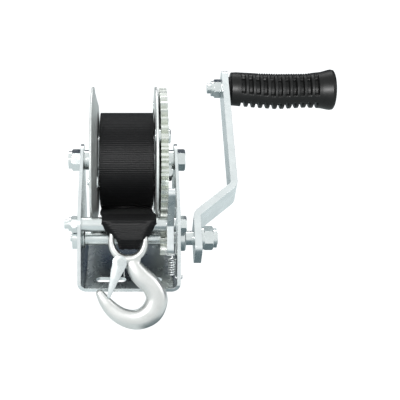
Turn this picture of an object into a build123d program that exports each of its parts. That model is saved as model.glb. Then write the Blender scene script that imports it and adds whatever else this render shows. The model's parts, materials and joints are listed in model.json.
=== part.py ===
from build123d import *
import math
import os

# Boat trailer winch. Millimetres, +Z up. The origin is the centre of the base's bottom face,
# +X is the crank side and -Y is the side the strap comes out of.

# Frame: one U-bent sheet
SHEET = 3.0
FRAME_WIDTH = 90.5
BASE_HALF_LENGTH = 66.0
OUTER_BEND_R = 8.0
FRAME_HEIGHT = 110.0
AXLE_BOSS_R = 15.0
TIE_BOSS_R = 11.0
BASE_EDGE_HEIGHT = 6.0
SLOT_SPACING_X = 32.0
SLOT_SPACING_Y = 100.0
SLOT_LENGTH = 27.0
SLOT_WIDTH = 8.5
OUT = FRAME_WIDTH / 2
IN = OUT - SHEET

# Fasteners: bolt radii, hexagon sizes across flats, and the proportions of a lock nut
AXLE_BOLT_R, AXLE_FLATS, AXLE_NUT_H = 6.0, 18.0, 11.5
TIE_BOLT_R, TIE_FLATS, TIE_NUT_H = 4.0, 13.0, 8.0
BOLT_END_X = -57.0
HEX_SHARE = 0.72
COLLAR_SHARE = 0.46
NYLON_T = 1.5

# Gear pair and the three shaft axes, as (Y, Z)
MODULE = 3.0
GEAR_TEETH = 44
PINION_TEETH = 8
PRESSURE_ANGLE = math.radians(25)
BACKLASH = 0.25
PROFILE_SHIFT = 0.25
ADDENDUM = 0.9
ROOT_GAP = 0.5
CENTRES = MODULE * (GEAR_TEETH + PINION_TEETH) / 2
AXLE = (32.0, 85.0)
PINION_AXIS = (-25.0, AXLE[1] - math.sqrt(CENTRES**2 - (AXLE[0] + 25.0) ** 2))
TIE = (-38.0, 52.0)
MESH_ANGLE = math.degrees(math.atan2(AXLE[1] - PINION_AXIS[1], AXLE[0] - PINION_AXIS[0]))
PINION_PHASE = MESH_ANGLE + 180 / PINION_TEETH
GEAR_PHASE = MESH_ANGLE + 180

# Drum
FLANGE_R = 69.0
FLANGE_T = 2.2
RIM_R = 0.8
DISH = 3.8
DISH_R0, DISH_R1 = 52.0, 66.0
DRUM_LEFT = -31.0
DRUM_RIGHT = 24.0
GEAR_X0, GEAR_X1 = 28.2, 34.8
HUB_R = 9.5
HUB_BORE_R = 8.0
CORE_R = 25.0
CORE_WALL = 2.5
SLEEVE_R = 7.0
RUN_FIT = 0.05
END_PLAY = 0.35
RIVET_CIRCLE_R = 54.0
RIVET_R = 4.0
RIVET_HEAD_R = 6.5
RIVET_HEAD_T = 2.2
FLUSH_HEAD_T = 0.8
ANCHOR_R = 18.0
KEEPER_R = 45.0
KEEPER_BOLT_R, KEEPER_FLATS, KEEPER_NUT_H = 3.0, 10.0, 5.0
KEEPER_HEAD_R, KEEPER_HEAD_T = 5.5, 1.2

# Strap
STRAP_HALF = 25.0
STRAP_X = -2.2
ROLL_R = 45.4
DOUBLE_T = 3.0
STRAP_GAP = 0.3

# Tie tube, pawl and its spring
TIE_TUBE_R = 6.2
PAWL_X0, PAWL_X1 = 33.3, 39.3
PAWL_HUB_R = 7.3
PAWL_RELEASE = 13.0
PAWL_SIDE_GAP = 0.1
THUMB = (-20.0, 39.0)
SPRING_EYE = (-13.0, -18.0)
SPRING_X = 38.0
COIL_R = 2.9
WIRE_R = 0.65
EYE_HOLE_R = WIRE_R + 0.5
COIL_TURNS = 6
COIL_TOP_Z = 25.5
COIL_BOTTOM_Z = 9.8
SPRING_HOLE = (-56.0, 7.5)

# Crank
SHAFT_R = 6.5
THREAD_R = 6.0
PINION_X0, PINION_X1 = 28.0, 40.5
BUSH_R = 8.0
CRANK_ANGLE = 58.0
CRANK_LENGTH = 178.0
BAR_WIDTH = 28.0
BAR_T = 6.5
BAR_END = 14.5
HUB_END = 20.5
BAR_END_R = 6.0
HUB_FACE = 58.5
CRANK_OFFSET = 36.0
BEND_1, BEND_2 = 18.0, 50.0
GRIP_BOLT_R = 5.0
GRIP_X0 = HUB_FACE + CRANK_OFFSET + BAR_T + 3.0
CRANK_NUT_X0, CRANK_NUT_X1 = 67.5, 79.2
GRIP_NUT_H = 10.5
GRIP_CORE_R = 10.0
GRIP_CORE_END = 198.5
GRIP_WASHER_R = 12.0
GRIP_HEAD_R = 8.0
CRANK_BEND_R = 5.0
GRIP_FACE = HUB_FACE + CRANK_OFFSET

# Hook, in a plane that leans out from the tie tube
DRAPE_TILT = math.radians(22)
HOOK_DEPTH = 14.5
EYE = (0.0, -12.9)
EYE_R = 14.65
EYE_WIRE_R = 2.2
HOOK_HALF_T = 6.2
LUG_HALF_T = 2.2
# The hook's spine from its neck to its point, as (across, up the strap, half width)
HOOK_SPINE = [(4.2, -30.0, 5.2), (4.6, -37.2, 7.0), (10.1, -43.4, 8.4), (18.3, -50.9, 8.6),
              (22.8, -58.0, 8.9), (24.0, -65.5, 9.5), (19.3, -75.4, 9.9), (11.5, -80.6, 9.0),
              (3.0, -81.6, 8.3), (-6.0, -79.0, 7.4), (-14.0, -73.5, 6.7), (-20.7, -66.0, 5.3),
              (-26.0, -57.8, 2.4)]
LATCH_PIVOT = (-7.2, -30.9)
LATCH_TIP = (-15.9, -59.0)
LATCH_X = 4.3
LATCH_SHEET = 1.2
LATCH_PIN_R = 1.75


def yz(x, at=(0, 0)):
    """A sketch plane facing +X, with Y to its right and Z up."""
    return Plane(origin=(x, at[0], at[1]), x_dir=(0, 1, 0), z_dir=(1, 0, 0))


def rod(x0, x1, radius, at):
    return extrude(yz(x0, at) * Circle(radius), x1 - x0)


def ring(x0, x1, outer, inner, at):
    return extrude(yz(x0, at) * (Circle(outer) - Circle(inner)), x1 - x0)


def hexagon(x0, x1, flats, at, bevel=1.0):
    """A hexagonal prism whose corners are bevelled at both ends."""
    blank = extrude(yz(x0, at) * RegularPolygon(flats / 2, 6, major_radius=False), x1 - x0)
    corner_r = flats / math.sqrt(3)
    turned = rod(x0, x1, corner_r, at)
    return blank & chamfer(turned.edges().filter_by(GeomType.CIRCLE), bevel)


def lock_nut(x0, x1, flats, bore, at):
    """A lock nut: hexagon at x0, round collar at x1, with a groove for its nylon ring."""
    step = x0 + HEX_SHARE * (x1 - x0)
    body = hexagon(min(x0, step), max(x0, step), flats, at)
    body += rod(min(step, x1), max(step, x1), flats * COLLAR_SHARE, at)
    body -= rod(min(x0, x1), max(x0, x1), bore, at)
    return body - rod(min(step, x1), max(step, x1), bore + NYLON_T, at)


def nylon_ring(x0, x1, bore, at):
    step = x0 + HEX_SHARE * (x1 - x0)
    return ring(min(step, x1), max(step, x1), bore + NYLON_T, bore, at)


def polar(angle, radius, about=(0, 0)):
    a = math.radians(angle)
    return (about[0] + radius * math.cos(a), about[1] + radius * math.sin(a))


def wheel(teeth, tip_r, root_r, thickness, phase):
    """An involute wheel outline with a tooth at the angle phase."""
    pitch_r = MODULE * teeth / 2
    base_r = pitch_r * math.cos(PRESSURE_ANGLE)

    def half_angle(r):
        a = math.acos(min(1.0, base_r / r))
        involute = math.tan(a) - a
        start = math.tan(PRESSURE_ANGLE) - PRESSURE_ANGLE
        return math.degrees(thickness / (2 * pitch_r) + start - involute)

    flank_r = max(base_r, root_r)
    radii = [flank_r + (tip_r - flank_r) * i / 4 for i in range(5)]
    edges = []
    for n in range(teeth):
        a = phase + 360 * n / teeth
        rise = [polar(a - half_angle(r), r) for r in radii]
        fall = [polar(a + half_angle(r), r) for r in reversed(radii)]
        foot = half_angle(flank_r)
        following = polar(a + 360 / teeth - foot, flank_r)
        edges += [Spline(*rise), Line(rise[-1], fall[0]), Spline(*fall)]
        if root_r < base_r:
            low_1 = polar(a + foot, root_r)
            low_2 = polar(a + 360 / teeth - foot, root_r)
            edges += [Line(fall[-1], low_1), Line(low_1, low_2), Line(low_2, following)]
        else:
            edges += [Line(fall[-1], following)]
    return make_face(edges)


def hull(*circles):
    """The convex outline round circles given as (y, z, radius)."""
    discs = Sketch() + [Pos(y, z) * Circle(r) for y, z, r in circles]
    return make_hull(discs.edges())


def wire(points, radius):
    """A bent wire with a ball at each point."""
    solid = Pos(*points[0]) * Sphere(radius)
    for a, b in zip(points, points[1:]):
        start, step = Vector(*a), Vector(*b) - Vector(*a)
        leg = Plane(origin=start, z_dir=step) * Circle(radius)
        solid += extrude(leg, step.length) + Pos(*b) * Sphere(radius)
    return solid


def leaning(depth=0.0):
    """The hook's plane: X across, second axis up the strap, third axis out of the front."""
    out = (0, -math.cos(DRAPE_TILT), math.sin(DRAPE_TILT))
    origin = (0, TIE[0] + out[1] * depth, TIE[1] + out[2] * depth)
    return Plane(origin=origin, x_dir=(1, 0, 0), z_dir=out)


def leaning_plate(outline, middle, half_t):
    return extrude(leaning(middle) * outline, half_t, both=True)


# Frame


def frame():
    box = Pos(0, 0, FRAME_HEIGHT / 2) * Box(FRAME_WIDTH, 2 * BASE_HALF_LENGTH, FRAME_HEIGHT)
    box = fillet(box.edges().filter_by(Axis.Y).group_by(Axis.Z)[0], OUTER_BEND_R)
    room = Pos(0, 0, FRAME_HEIGHT / 2 + SHEET) * Box(2 * IN, 2 * BASE_HALF_LENGTH, FRAME_HEIGHT)
    room = fillet(room.edges().filter_by(Axis.Y).group_by(Axis.Z)[0], OUTER_BEND_R - SHEET)
    base = Pos(0, BASE_EDGE_HEIGHT / 2) * Rectangle(2 * BASE_HALF_LENGTH, BASE_EDGE_HEIGHT)
    bosses = Pos(*AXLE) * Circle(AXLE_BOSS_R) + Pos(*TIE) * Circle(TIE_BOSS_R)
    side = make_hull((base + bosses).edges())
    body = (box - room) & extrude(yz(-OUT) * side, FRAME_WIDTH)
    body -= rod(-OUT, OUT, AXLE_BOLT_R, AXLE)
    body -= rod(-OUT, OUT, BUSH_R, PINION_AXIS)
    body -= rod(-OUT, OUT, TIE_BOLT_R, TIE)
    body -= rod(0, OUT, EYE_HOLE_R, SPRING_HOLE)
    slot = SlotOverall(SLOT_LENGTH, SLOT_WIDTH)
    places = GridLocations(SLOT_SPACING_X, SLOT_SPACING_Y, 2, 2)
    slots = Sketch() + [place * slot for place in places]
    return body - extrude(slots, SHEET)


def axle_bolt():
    return rod(BOLT_END_X, OUT, AXLE_BOLT_R, AXLE) + hexagon(OUT, OUT + 7.5, AXLE_FLATS, AXLE)


def tie_bolt():
    return rod(BOLT_END_X, OUT, TIE_BOLT_R, TIE) + hexagon(OUT, OUT + 5.5, TIE_FLATS, TIE, 0.8)


def shaft_bushing(wall_x0, wall_x1, flange_x0, flange_x1, flange_r):
    rim = rod(flange_x0, flange_x1, flange_r, PINION_AXIS)
    body = rod(wall_x0, wall_x1, BUSH_R, PINION_AXIS)
    body += chamfer(rim.edges().filter_by(GeomType.CIRCLE), 1.0)
    return body - rod(wall_x0 - flange_r, wall_x1 + flange_r, SHAFT_R + RUN_FIT, PINION_AXIS)


# Drum


def drum_hub():
    return ring(-IN + END_PLAY, IN - END_PLAY, HUB_R, HUB_BORE_R, AXLE)


def drum_bushes():
    inner = SLEEVE_R + RUN_FIT
    left = ring(-IN + END_PLAY, -IN + 14.0, HUB_BORE_R, inner, AXLE)
    right = ring(IN - 14.0, IN - END_PLAY, HUB_BORE_R, inner, AXLE)
    return Compound(children=[left, right])


def rivet_places():
    return [polar(45 + 90 * n, RIVET_CIRCLE_R, AXLE) for n in range(4)]


def drilled(disc, holes):
    """A flange with its hub hole and through holes given as (place, radius)."""
    for place, radius in [(AXLE, HUB_R)] + holes:
        disc -= rod(DRUM_LEFT, DRUM_RIGHT + FLANGE_T, radius, place)
    return disc


def right_flange(holes):
    disc = rod(DRUM_RIGHT, DRUM_RIGHT + FLANGE_T, FLANGE_R, AXLE)
    return drilled(fillet(disc.edges().filter_by(GeomType.CIRCLE), RIM_R), holes)


def left_flange(holes):
    """A disc whose rim is dished away from the strap."""
    inner = DRUM_LEFT + FLANGE_T
    slip = FLANGE_T * math.tan(math.atan2(DISH, DISH_R1 - DISH_R0) / 2)
    outline = make_face(Polyline(
        (inner, 0), (inner, DISH_R0), (inner - DISH, DISH_R1), (inner - DISH, FLANGE_R),
        (DRUM_LEFT - DISH, FLANGE_R), (DRUM_LEFT - DISH, DISH_R1 - slip),
        (DRUM_LEFT, DISH_R0 - slip), (DRUM_LEFT, 0), close=True))
    plane = Plane(origin=(0, AXLE[0], AXLE[1]), x_dir=(1, 0, 0), z_dir=(0, -1, 0))
    disc = revolve(plane * outline, Axis(plane.origin, (1, 0, 0)), 360)
    circles = disc.edges().filter_by(GeomType.CIRCLE)
    return drilled(fillet([edge for edge in circles if edge.radius > DISH_R1 + 1.0], RIM_R), holes)


def main_gear():
    tooth = math.pi * MODULE / 2 - BACKLASH - 2 * PROFILE_SHIFT * MODULE * math.tan(PRESSURE_ANGLE)
    tip_r = MODULE * (GEAR_TEETH / 2 + ADDENDUM - PROFILE_SHIFT)
    root_r = CENTRES - MODULE * (PINION_TEETH / 2 + ADDENDUM + PROFILE_SHIFT) - ROOT_GAP
    outline = wheel(GEAR_TEETH, tip_r, root_r, tooth, GEAR_PHASE)
    gear = extrude(yz(GEAR_X0, AXLE) * outline, GEAR_X1 - GEAR_X0)
    gear -= rod(GEAR_X0, GEAR_X1, HUB_R, AXLE)
    for place in rivet_places():
        gear -= rod(GEAR_X0, GEAR_X1, RIVET_R, place)
    return gear - rod(GEAR_X0, GEAR_X1, TIE_BOLT_R, anchor_place())


def anchor_place():
    return polar(200, ANCHOR_R, AXLE)


def keeper_place():
    return polar(184, KEEPER_R, AXLE)


def gear_rivets():
    rivets = []
    for place in rivet_places():
        shank = rod(DRUM_RIGHT, GEAR_X1, RIVET_R, place)
        collar = rod(DRUM_RIGHT + FLANGE_T, GEAR_X0, RIVET_HEAD_R, place)
        heads = rod(DRUM_RIGHT - FLUSH_HEAD_T, DRUM_RIGHT, RIVET_HEAD_R, place)
        outer = rod(GEAR_X1, GEAR_X1 + RIVET_HEAD_T, RIVET_HEAD_R, place)
        dome = fillet(outer.edges().group_by(Axis.X)[-1], 1.5)
        rivets.append(shank + collar + heads + dome)
    return Compound(children=rivets)


def anchor_bolt():
    place = anchor_place()
    head = hexagon(DRUM_LEFT - 4.5, DRUM_LEFT, TIE_FLATS, place, 0.8)
    return rod(DRUM_LEFT, GEAR_X1 + 6.0, TIE_BOLT_R, place) + head


def anchor_nut():
    place = anchor_place()
    nut_x1 = GEAR_X1 + 5.0
    return hexagon(GEAR_X1, nut_x1, TIE_FLATS, place, 0.8) - rod(GEAR_X1, nut_x1, TIE_BOLT_R, place)


def keeper_bolt():
    """The strap keeper's bolt: a flat head inside the left flange and a thread outside it."""
    place = keeper_place()
    inner = DRUM_LEFT + FLANGE_T
    head = rod(inner, inner + KEEPER_HEAD_T, KEEPER_HEAD_R, place)
    return head + rod(DRUM_LEFT - KEEPER_NUT_H - 1.3, inner, KEEPER_BOLT_R, place)


def keeper_nut():
    x0 = DRUM_LEFT - KEEPER_NUT_H
    place = keeper_place()
    nut = hexagon(x0, DRUM_LEFT, KEEPER_FLATS, place, 0.6)
    return nut - rod(x0, DRUM_LEFT, KEEPER_BOLT_R, place)


# Strap


def strap_run():
    """The doubled strap between the underside of the roll and the top of the tie tube."""
    roll_r = ROLL_R + STRAP_GAP + DOUBLE_T / 2
    tube_r = TIE_TUBE_R + STRAP_GAP + DOUBLE_T / 2
    span = math.dist(AXLE, TIE)
    heading = math.degrees(math.atan2(TIE[1] - AXLE[1], TIE[0] - AXLE[0]))
    normal = heading + math.degrees(math.acos((roll_r + tube_r) / span))
    start = polar(normal, roll_r, AXLE)
    end = polar(normal + 180, tube_r, TIE)
    middle = ((start[0] + end[0]) / 2, (start[1] + end[1]) / 2)
    section = Rot(0, 0, normal + 90) * Rectangle(math.dist(start, end), DOUBLE_T)
    return extrude(yz(STRAP_X - STRAP_HALF, middle) * section, 2 * STRAP_HALF)


def strap_tail():
    """The sewn loop that hangs over the tie tube and holds the hook's eye."""
    bar = EYE[1] + EYE_R
    slot_r = EYE_WIRE_R + 0.5
    loop_r = slot_r + DOUBLE_T / 2
    bottom = bar - 16.4
    lean = leaning()
    side_plane = Plane(origin=lean.origin, x_dir=lean.z_dir, z_dir=lean.z_dir.cross(lean.y_dir))
    loop = make_hull((Pos(HOOK_DEPTH, bar) * Circle(loop_r)
                      + Pos(HOOK_DEPTH, bottom) * Circle(loop_r)).edges())
    neck = Pos(0, 0) * Circle(TIE_TUBE_R + STRAP_GAP + DOUBLE_T)
    neck = make_hull((neck + Pos(HOOK_DEPTH, bar) * Circle(loop_r)).edges())
    neck -= Circle(TIE_TUBE_R + STRAP_GAP)
    neck &= Pos(HOOK_DEPTH / 2 + 3, 7.0) * Rectangle(HOOK_DEPTH, 10.0)
    opening = make_hull((Pos(HOOK_DEPTH, bar) * Circle(slot_r)
                         + Pos(HOOK_DEPTH, bottom) * Circle(slot_r)).edges())
    side = extrude(side_plane * (loop + neck - opening), STRAP_HALF, both=True)
    outline = Polyline((-24.5, 14), (24.5, 14), (24.5, 1), (11.5, -13.5), (7.5, -19.5),
                       (-7.5, -19.5), (-11.5, -13.5), (-24.5, 1), close=True)
    return side & extrude(leaning() * make_face(outline), 40.0, both=True)


# Pawl and spring


def pawl():
    """The pawl lifted clear of the pinion, as it stands when the drum is free."""
    turned = [rotated(p, PAWL_RELEASE) for p in (THUMB, SPRING_EYE)]
    (thumb, eye) = turned
    offset = (PINION_AXIS[0] - TIE[0], PINION_AXIS[1] - TIE[1])
    body = hull((0, 0, PAWL_HUB_R), (eye[0], eye[1], 4.0))
    body -= Pos(*offset) * Circle(16.3)
    body += hull((0, 0, 6.0), (thumb[0], thumb[1], 4.2))
    tip = make_face(Polyline((-12.1, -1.2), (-12.1, 1.2), (-18.5, 3.6), (-18.5, -3.4), close=True))
    body += Pos(*offset) * tip
    body -= Circle(TIE_BOLT_R + RUN_FIT) + Pos(*eye) * Circle(EYE_HOLE_R)
    solid = extrude(yz(PAWL_X0, TIE) * body, PAWL_X1 - PAWL_X0)
    axis = Axis((0, TIE[0], TIE[1]), (1, 0, 0))
    return solid.rotate(axis, -PAWL_RELEASE)


def rotated(point, angle):
    a = math.radians(angle)
    y, z = point
    return (y * math.cos(a) - z * math.sin(a), y * math.sin(a) + z * math.cos(a))


def pawl_spring():
    """A pull spring from the pawl's lower eye to a hole in the right cheek."""
    eye = (TIE[0] + SPRING_EYE[0], TIE[1] + SPRING_EYE[1])
    y = (eye[0] + SPRING_HOLE[0]) / 2
    height = COIL_TOP_Z - COIL_BOTTOM_Z
    path = Helix(height / COIL_TURNS, height, COIL_R, center=(SPRING_X, y, COIL_BOTTOM_Z))
    coil = sweep(Plane(origin=path @ 0, z_dir=path % 0) * Circle(WIRE_R), path, is_frenet=True)
    inner_x, outer_x = PAWL_X0 - 1.2, PAWL_X1 + 1.3
    top = [path @ 0.98, (outer_x, y, COIL_TOP_Z + 1.5), (outer_x, eye[0], eye[1]),
           (inner_x, eye[0], eye[1]), (inner_x, eye[0], eye[1] - 4.0)]
    bottom = [path @ 0.02, (SPRING_X + COIL_R - 1.0, SPRING_HOLE[0], SPRING_HOLE[1]),
              (OUT + 1.5, SPRING_HOLE[0], SPRING_HOLE[1]),
              (OUT + 1.5, SPRING_HOLE[0], SPRING_HOLE[1] + 4.0)]
    return coil + wire([tuple(Vector(p)) for p in top], WIRE_R) \
        + wire([tuple(Vector(p)) for p in bottom], WIRE_R)


# Crank


def pinion_shaft():
    shaft = rod(-53.0, -51.0, 3.25, PINION_AXIS) + rod(-51.0, HUB_FACE, SHAFT_R, PINION_AXIS)
    return shaft + rod(HUB_FACE, 80.0, THREAD_R, PINION_AXIS)


def pinion():
    tooth = math.pi * MODULE / 2 - BACKLASH + 2 * PROFILE_SHIFT * MODULE * math.tan(PRESSURE_ANGLE)
    tip_r = MODULE * (PINION_TEETH / 2 + ADDENDUM + PROFILE_SHIFT)
    root_r = CENTRES - MODULE * (GEAR_TEETH / 2 + ADDENDUM - PROFILE_SHIFT) - ROOT_GAP
    outline = wheel(PINION_TEETH, tip_r, root_r, tooth, PINION_PHASE)
    gear = extrude(yz(PINION_X0, PINION_AXIS) * outline, PINION_X1 - PINION_X0)
    return gear - rod(PINION_X0, PINION_X1, SHAFT_R, PINION_AXIS)


def round_corners(face, places, radius):
    corners = [face.vertices().sort_by_distance((*place, 0))[0] for place in places]
    return fillet(corners, radius)


def crank_arm():
    """A flat bar with two bends, hub face at HUB_FACE and grip face CRANK_OFFSET further out."""
    slope = math.atan2(CRANK_OFFSET, BEND_2 - BEND_1)
    mitre = BAR_T / 2 * math.tan(slope / 2)
    x0, x1 = HUB_FACE, HUB_FACE + BAR_T
    x2, x3 = x0 + CRANK_OFFSET, x1 + CRANK_OFFSET
    low, high = -HUB_END, CRANK_LENGTH + BAR_END
    profile = make_face(Polyline(
        (x0, low), (x1, low), (x1, BEND_1 - mitre), (x3, BEND_2 - mitre),
        (x3, high), (x2, high), (x2, BEND_2 + mitre), (x0, BEND_1 + mitre), close=True))
    inner = ((x1, BEND_1 - mitre), (x2, BEND_2 + mitre))
    outer = ((x0, BEND_1 + mitre), (x3, BEND_2 - mitre))
    profile = round_corners(profile, inner, CRANK_BEND_R)
    profile = round_corners(profile, outer, CRANK_BEND_R + BAR_T)
    a = math.radians(CRANK_ANGLE)
    along = Vector(0, math.sin(a), math.cos(a))
    origin = (0, PINION_AXIS[0], PINION_AXIS[1])
    plane = Plane(origin=origin, x_dir=(1, 0, 0), z_dir=Vector(1, 0, 0).cross(along))
    bar = extrude(plane * profile, BAR_WIDTH / 2, both=True)
    bar = fillet(bar.edges().filter_by(Axis.X), BAR_END_R)
    bar -= rod(x0, x1, THREAD_R, PINION_AXIS)
    return bar - rod(x2, x3, GRIP_BOLT_R, grip_axis())


def grip_axis():
    a = math.radians(CRANK_ANGLE)
    return (PINION_AXIS[0] + CRANK_LENGTH * math.sin(a), PINION_AXIS[1] + CRANK_LENGTH * math.cos(a))


def grip_bolt():
    head_x0 = GRIP_CORE_END + 0.5
    head = rod(head_x0, head_x0 + 5.5, GRIP_HEAD_R, grip_axis())
    return rod(80.0, head_x0, GRIP_BOLT_R, grip_axis()) + head


def grip_rubber():
    """A rubber grip with a belly on its lower side and a flared end, as (x, radius, drop)."""
    sections = [(GRIP_X0, 17.4, 0.0), (128.0, 17.9, 2.0), (152.0, 18.3, 3.2), (180.0, 17.6, 2.0),
                (196.0, 18.6, 1.5), (206.0, 20.9, 1.2), (210.0, 18.0, 1.2)]
    y, z = grip_axis()
    body = Part()
    for near, far in zip(sections, sections[1:]):
        ends = [yz(x, (y, z - drop)) * Circle(r) for x, r, drop in (near, far)]
        body += loft(ends, ruled=True)
    body -= rod(GRIP_X0, GRIP_CORE_END, GRIP_CORE_R, grip_axis())
    return body - rod(GRIP_CORE_END, GRIP_CORE_END + 7.0, GRIP_HEAD_R + 1.0, grip_axis())


# Hook


def hook_outline(inset):
    """The hook's body as a chain of capsules along its spine, made smaller by inset."""
    outline = Sketch()
    for (x0, y0, r0), (x1, y1, r1) in zip(HOOK_SPINE, HOOK_SPINE[1:]):
        outline += hull((x0, y0, r0 - inset), (x1, y1, r1 - inset))
    return outline


def hook():
    body = leaning_plate(hook_outline(0.0), HOOK_DEPTH, HOOK_HALF_T - 2.6)
    for inset, half_t in ((0.9, HOOK_HALF_T - 1.2), (1.9, HOOK_HALF_T)):
        body += leaning_plate(hook_outline(inset), HOOK_DEPTH, half_t)
    eye_plane = Plane(origin=leaning(HOOK_DEPTH).from_local_coords((EYE[0], EYE[1], 0)),
                      x_dir=(1, 0, 0), z_dir=leaning().z_dir)
    body += eye_plane * Torus(EYE_R, EYE_WIRE_R)
    lug = hull((*LATCH_PIVOT, 5.6), (3.0, -31.0, 6.0), (0.0, -27.5, 4.0))
    body += leaning_plate(lug, HOOK_DEPTH, LUG_HALF_T)
    return body - leaning_plate(Pos(*LATCH_PIVOT) * Circle(LATCH_PIN_R), HOOK_DEPTH, 10.0)


def latch():
    """A pressed latch with two side plates joined by a web along its outer edge."""
    outline = make_hull((Pos(*LATCH_PIVOT) * Circle(5.4) + Pos(*LATCH_TIP) * Circle(2.2)).edges())
    hole = Pos(*LATCH_PIVOT) * Circle(LATCH_PIN_R + RUN_FIT)
    solid = leaning_plate(outline - hole, HOOK_DEPTH, LATCH_X + LATCH_SHEET)
    room = leaning_plate(latch_hollow(outline), HOOK_DEPTH, LATCH_X)
    return solid - room


def latch_hollow(outline):
    """The hollow between the latch's plates: all but a web on the outer lower edge."""
    along = Vector(LATCH_TIP[0] - LATCH_PIVOT[0], LATCH_TIP[1] - LATCH_PIVOT[1]).normalized()
    across = Vector(-along.Y, along.X)
    shifted = Pos(across.X * LATCH_SHEET, across.Y * LATCH_SHEET) * outline
    return shifted + Pos(*LATCH_PIVOT) * Circle(8.0)


def latch_rivet():
    pin = leaning_plate(Pos(*LATCH_PIVOT) * Circle(LATCH_PIN_R), HOOK_DEPTH, LATCH_X + LATCH_SHEET)
    head = leaning_plate(Pos(*LATCH_PIVOT) * Circle(3.2), HOOK_DEPTH, LATCH_X + LATCH_SHEET + 1.4)
    gap = leaning_plate(Pos(*LATCH_PIVOT) * Circle(4.0), HOOK_DEPTH, LATCH_X + LATCH_SHEET + 0.05)
    return (head - gap) + pin + leaning_plate(
        Pos(*LATCH_PIVOT) * Circle(LATCH_PIN_R), HOOK_DEPTH, LATCH_X + LATCH_SHEET + 1.0)


def latch_spring():
    """A torsion spring on the rivet, between the lug and the front plate."""
    coil = [polar(30 * n - 139, 2.7, LATCH_PIVOT) for n in range(11)]
    path = leaning(HOOK_DEPTH + LUG_HALF_T + 0.95) * Polyline(*coil, (-12.4, -46.0))
    section = Plane(origin=path @ 0, z_dir=path % 0) * Circle(0.4)
    return sweep(section, path, transition=Transition.ROUND)


def parts():
    anchor_hole = (anchor_place(), TIE_BOLT_R)
    keeper_hole = (keeper_place(), KEEPER_BOLT_R)
    rivet_holes = [(place, RIVET_R) for place in rivet_places()]
    core_x0 = DRUM_LEFT + FLANGE_T
    grip = grip_axis()
    return {
        "frame": frame(),
        "axle_bolt": axle_bolt(),
        "axle_nut": lock_nut(-OUT, -OUT - AXLE_NUT_H, AXLE_FLATS, AXLE_BOLT_R, AXLE),
        "axle_sleeve": ring(-IN, IN, SLEEVE_R, AXLE_BOLT_R + 0.1, AXLE),
        "tie_bolt": tie_bolt(),
        "tie_nut": lock_nut(-OUT, -OUT - TIE_NUT_H, TIE_FLATS, TIE_BOLT_R, TIE),
        "tie_tube": ring(-IN, PAWL_X0 - PAWL_SIDE_GAP, TIE_TUBE_R, TIE_BOLT_R + 0.1, TIE),
        "pawl_spacer": ring(PAWL_X1 + PAWL_SIDE_GAP, IN, TIE_TUBE_R, TIE_BOLT_R + 0.1, TIE),
        "frame_nut_inserts": Compound(children=[
            nylon_ring(-OUT, -OUT - AXLE_NUT_H, AXLE_BOLT_R, AXLE),
            nylon_ring(-OUT, -OUT - TIE_NUT_H, TIE_BOLT_R, TIE)]),
        "shaft_bushing_left": shaft_bushing(-OUT, -IN, -IN, -IN + 2.75, 9.5),
        "shaft_bushing_right": shaft_bushing(IN, OUT, OUT, OUT + 5.8, 11.75),
        "pawl_spring": pawl_spring(),
        "strap_run": strap_run(),
        "drum_hub": drum_hub(),
        "drum_bushes": drum_bushes(),
        "drum_core": ring(core_x0, DRUM_RIGHT, CORE_R, CORE_R - CORE_WALL, AXLE),
        "left_flange": left_flange([anchor_hole, keeper_hole]),
        "right_flange": right_flange([anchor_hole] + rivet_holes),
        "main_gear": main_gear(),
        "gear_rivets": gear_rivets(),
        "strap_anchor_bolt": anchor_bolt(),
        "strap_anchor_nut": anchor_nut(),
        "keeper_bolt": keeper_bolt(),
        "keeper_nut": keeper_nut(),
        "strap_roll": ring(STRAP_X - STRAP_HALF, STRAP_X + STRAP_HALF, ROLL_R, CORE_R, AXLE),
        "pinion_shaft": pinion_shaft(),
        "pinion": pinion(),
        "shaft_collar": ring(-51.0, -OUT - END_PLAY, 10.0, SHAFT_R, PINION_AXIS),
        "crank_arm": crank_arm(),
        "crank_washer": ring(HUB_FACE + BAR_T, CRANK_NUT_X0, 10.5, THREAD_R, PINION_AXIS),
        "crank_nut": lock_nut(CRANK_NUT_X0, CRANK_NUT_X1, 19.0, THREAD_R, PINION_AXIS),
        "grip_bolt": grip_bolt(),
        "grip_nut": lock_nut(GRIP_FACE, GRIP_FACE - GRIP_NUT_H, 17.0, GRIP_BOLT_R, grip),
        "grip_washer": ring(GRIP_FACE + BAR_T, GRIP_X0 - 0.2, GRIP_WASHER_R, GRIP_BOLT_R, grip),
        "crank_nut_inserts": Compound(children=[
            nylon_ring(CRANK_NUT_X0, CRANK_NUT_X1, THREAD_R, PINION_AXIS),
            nylon_ring(GRIP_FACE, GRIP_FACE - GRIP_NUT_H, GRIP_BOLT_R, grip)]),
        "grip_core": ring(GRIP_X0, GRIP_CORE_END, GRIP_CORE_R, GRIP_BOLT_R + RUN_FIT, grip),
        "grip_rubber": grip_rubber(),
        "pawl": pawl(),
        "strap_tail": strap_tail(),
        "hook": hook(),
        "latch_rivet": latch_rivet(),
        "latch_spring": latch_spring(),
        "latch": latch(),
    }


os.makedirs("parts", exist_ok=True)
for name, solid in parts().items():
    export_step(solid, f"parts/{name}.step")
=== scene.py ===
import json
import math

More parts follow.
